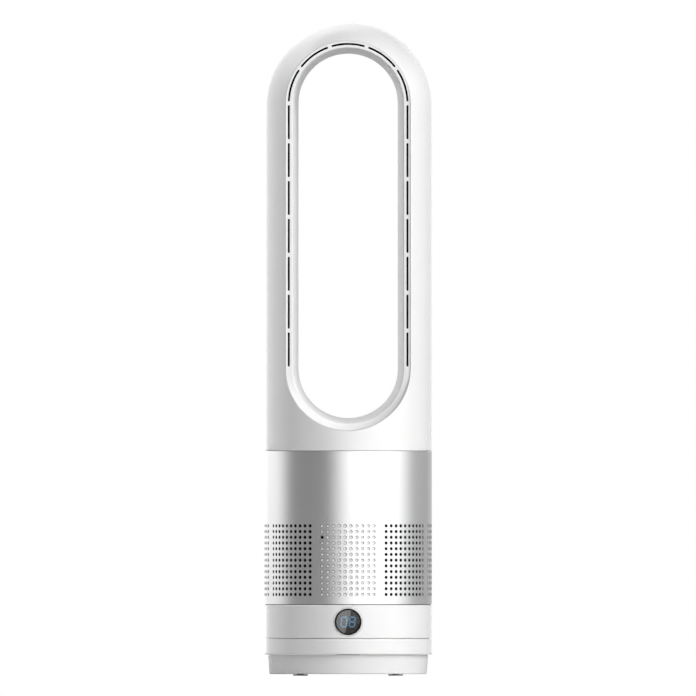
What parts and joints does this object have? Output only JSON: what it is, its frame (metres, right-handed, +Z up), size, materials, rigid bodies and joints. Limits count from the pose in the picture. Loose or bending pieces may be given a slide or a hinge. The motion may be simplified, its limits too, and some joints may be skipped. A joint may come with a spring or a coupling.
{
  "type": "bladeless fan",
  "caption": "Free-standing bladeless tower fan: round plinth, swivelling perforated intake body and a domed head with a long round-ended opening.",
  "frame": {"origin": "centre of the footprint, on the floor under the feet, on the swivel axis", "axes": "+Z up along the swivel axis, -Y to the front where the nozzle and the display face, +X to the right seen from the front"},
  "size_m": [0.205, 0.205, 0.8],
  "materials": {
    "white_plastic": "satin white moulded plastic",
    "nozzle_plastic": "fine satin white plastic",
    "sleeve_steel": "brushed round the sleeve, with punched holes",
    "black_plastic": "matt black",
    "gloss_black": "gloss black",
    "smoked_lens": "smoked clear cover",
    "rubber": "matt",
    "filter_foam": "open-cell black foam",
    "acetal": "natural",
    "circuit_board": "green solder mask",
    "bearing_steel": "ground and polished",
    "ballast": "plain steel plate",
    "zinc_can": "dull plated",
    "contact_brass": "plated",
    "windings": "varnished copper and laminations"
  },
  "bodies": {
    "base": {"base_tray": "white_plastic", "foot_front_left": "rubber", "foot_front_right": "rubber", "foot_rear_left": "rubber", "foot_rear_right": "rubber", "base_weight": "ballast", "fixed_gear": "acetal", "lower_race": "acetal", "thrust_washer": "acetal", "snap_ring": "bearing_steel", "power_jack": "black_plastic", "jack_pin": "contact_brass"},
    "ball_ring": {"ball_cage": "acetal", "bearing_ball_1": "bearing_steel", "bearing_ball_2": "bearing_steel", "bearing_ball_3": "bearing_steel", "bearing_ball_4": "bearing_steel", "bearing_ball_5": "bearing_steel", "bearing_ball_6": "bearing_steel"},
    "turret": {"bottom_cover": "white_plastic", "upper_race": "acetal", "swivel_motor": "zinc_can", "power_board": "circuit_board", "control_band": "white_plastic", "display_collar": "white_plastic", "switch_board": "circuit_board", "press_switch": "black_plastic", "intake_deck": "black_plastic", "intake_liner": "white_plastic", "intake_filter": "filter_foam", "perforated_sleeve": "sleeve_steel", "remote_receiver": "gloss_black", "impeller_duct": "black_plastic", "diffuser": "black_plastic", "motor_stator": "windings", "motor_cap": "zinc_can", "lower_bearing": "bearing_steel", "upper_bearing": "bearing_steel", "tail_cone": "black_plastic", "neck_seal": "rubber", "head_base": "white_plastic", "head_front_shell": "white_plastic", "head_rear_shell": "white_plastic", "nozzle_ring": "nozzle_plastic", "opening_wall": "nozzle_plastic"},
    "pinion": {"drive_pinion": "acetal", "pinion_shaft": "bearing_steel"},
    "display_button": {"display_bezel": "gloss_black", "display_lens": "smoked_lens", "led_module": "black_plastic"},
    "spinner": {"impeller": "black_plastic", "motor_shaft": "bearing_steel", "motor_rotor": "ballast", "impeller_nut": "zinc_can"}
  },
  "joints": [
    {"name": "swivel", "type": "hinge", "parent": "base", "child": "turret", "pos_m": [0, 0, 0.026], "axis": [0, 0, 1], "range_deg": [-45, 45]},
    {"name": "ball_ring_turn", "type": "hinge", "parent": "base", "child": "ball_ring", "pos_m": [0, 0, 0.02], "axis": [0, 0, 1], "range_deg": [-23, 23]},
    {"name": "pinion_turn", "type": "hinge", "parent": "turret", "child": "pinion", "pos_m": [0, 0.035, 0.015], "axis": [0, 0, 1], "range_deg": [-131, 131]},
    {"name": "display_press", "type": "slide", "parent": "turret", "child": "display_button", "axis": [0, 1, 0], "range_m": [0, 0.0008], "stiffness_N_per_m": 800, "springref_m": -0.0006},
    {"name": "impeller_spin", "type": "hinge", "parent": "turret", "child": "spinner", "pos_m": [0, 0, 0.14], "axis": [0, 0, 1], "continuous": true}
  ],
  "couplings": [
    {"joint": "ball_ring_turn", "follows": "swivel", "ratio": 0.5},
    {"joint": "pinion_turn", "follows": "swivel", "ratio": 2.8889}
  ]
}
